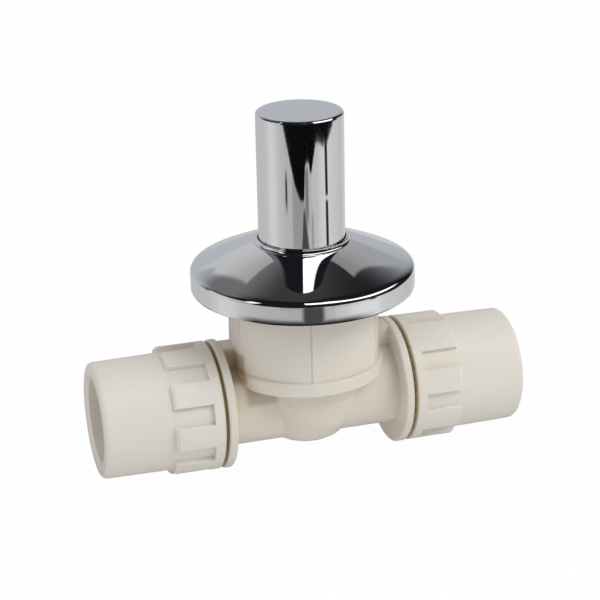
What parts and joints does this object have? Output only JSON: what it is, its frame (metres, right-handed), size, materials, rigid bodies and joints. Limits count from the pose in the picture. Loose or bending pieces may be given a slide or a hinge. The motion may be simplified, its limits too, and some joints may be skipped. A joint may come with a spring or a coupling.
{
  "type": "concealed stop valve",
  "caption": "Built-in pipe stop valve: ivory plastic body with lobed tower, union nuts at both ends, chromed bell rosette and plain cylindrical handle.",
  "frame": {"origin": "crossing of the pipe run's axis and the spindle's axis, inside the valve body", "axes": "+X along the pipe run, +Z along the spindle from the buried body out of the wall towards the handle"},
  "size_m": [0.1368, 0.07, 0.1131],
  "materials": {
    "ivory_body": "satin moulded plastic, slightly translucent",
    "ivory_nut": "satin moulded plastic, slightly translucent",
    "chrome": "polished chrome plating",
    "brass": "turned brass",
    "steel": "plain stainless steel",
    "rubber": "black rubber",
    "grey_plastic": "dark grey moulded plastic",
    "white_plastic": "white moulded plastic"
  },
  "bodies": {
    "valve": {"valve_body": "ivory_body", "threaded_insert": "brass", "seat_ring": "steel", "headwork_bonnet": "brass", "bonnet_o_ring": "rubber", "thrust_washer": "white_plastic", "rosette_carrier": "grey_plastic", "rosette_o_ring": "rubber", "spigot_ring_left_inner": "rubber", "spigot_ring_left_outer": "rubber", "spigot_ring_right_inner": "rubber", "spigot_ring_right_outer": "rubber"},
    "handle": {"spindle": "brass", "spindle_o_ring_lower": "rubber", "spindle_o_ring_upper": "rubber", "spindle_clip": "steel", "handle_insert": "grey_plastic", "handle_ring": "rubber", "handle_cap": "chrome"},
    "plug": {"valve_plug": "brass", "seat_washer": "rubber", "washer_screw": "brass"},
    "rosette": {"rosette": "chrome"},
    "grip_left": {"grip_ring_left": "white_plastic"},
    "nut_left": {"union_nut_left": "ivory_nut"},
    "grip_right": {"grip_ring_right": "white_plastic"},
    "nut_right": {"union_nut_right": "ivory_nut"}
  },
  "joints": [
    {"name": "handle_turn", "type": "hinge", "parent": "valve", "child": "handle", "pos_m": [0, 0, 0.045], "axis": [0, 0, 1], "range_deg": [0, 900]},
    {"name": "plug_lift", "type": "slide", "parent": "valve", "child": "plug", "axis": [0, 0, 1], "range_m": [0, 0.005]},
    {"name": "rosette_slide", "type": "slide", "parent": "valve", "child": "rosette", "axis": [0, 0, 1], "range_m": [0, 0.005]},
    {"name": "left_nut_travel", "type": "slide", "parent": "valve", "child": "grip_left", "axis": [-1, 0, 0], "range_m": [-0.0005, 0.01]},
    {"name": "left_nut_turn", "type": "hinge", "parent": "grip_left", "child": "nut_left", "pos_m": [-0.045, 0, 0], "axis": [-1, 0, 0], "range_deg": [-72, 1440]},
    {"name": "right_nut_travel", "type": "slide", "parent": "valve", "child": "grip_right", "axis": [1, 0, 0], "range_m": [-0.0005, 0.01]},
    {"name": "right_nut_turn", "type": "hinge", "parent": "grip_right", "child": "nut_right", "pos_m": [0.045, 0, 0], "axis": [1, 0, 0], "range_deg": [-72, 1440]}
  ],
  "couplings": [
    {"joint": "plug_lift", "follows": "handle_turn", "m_per_rad": 0.00031831},
    {"joint": "left_nut_travel", "follows": "left_nut_turn", "m_per_rad": 0.00039789},
    {"joint": "right_nut_travel", "follows": "right_nut_turn", "m_per_rad": 0.00039789}
  ]
}
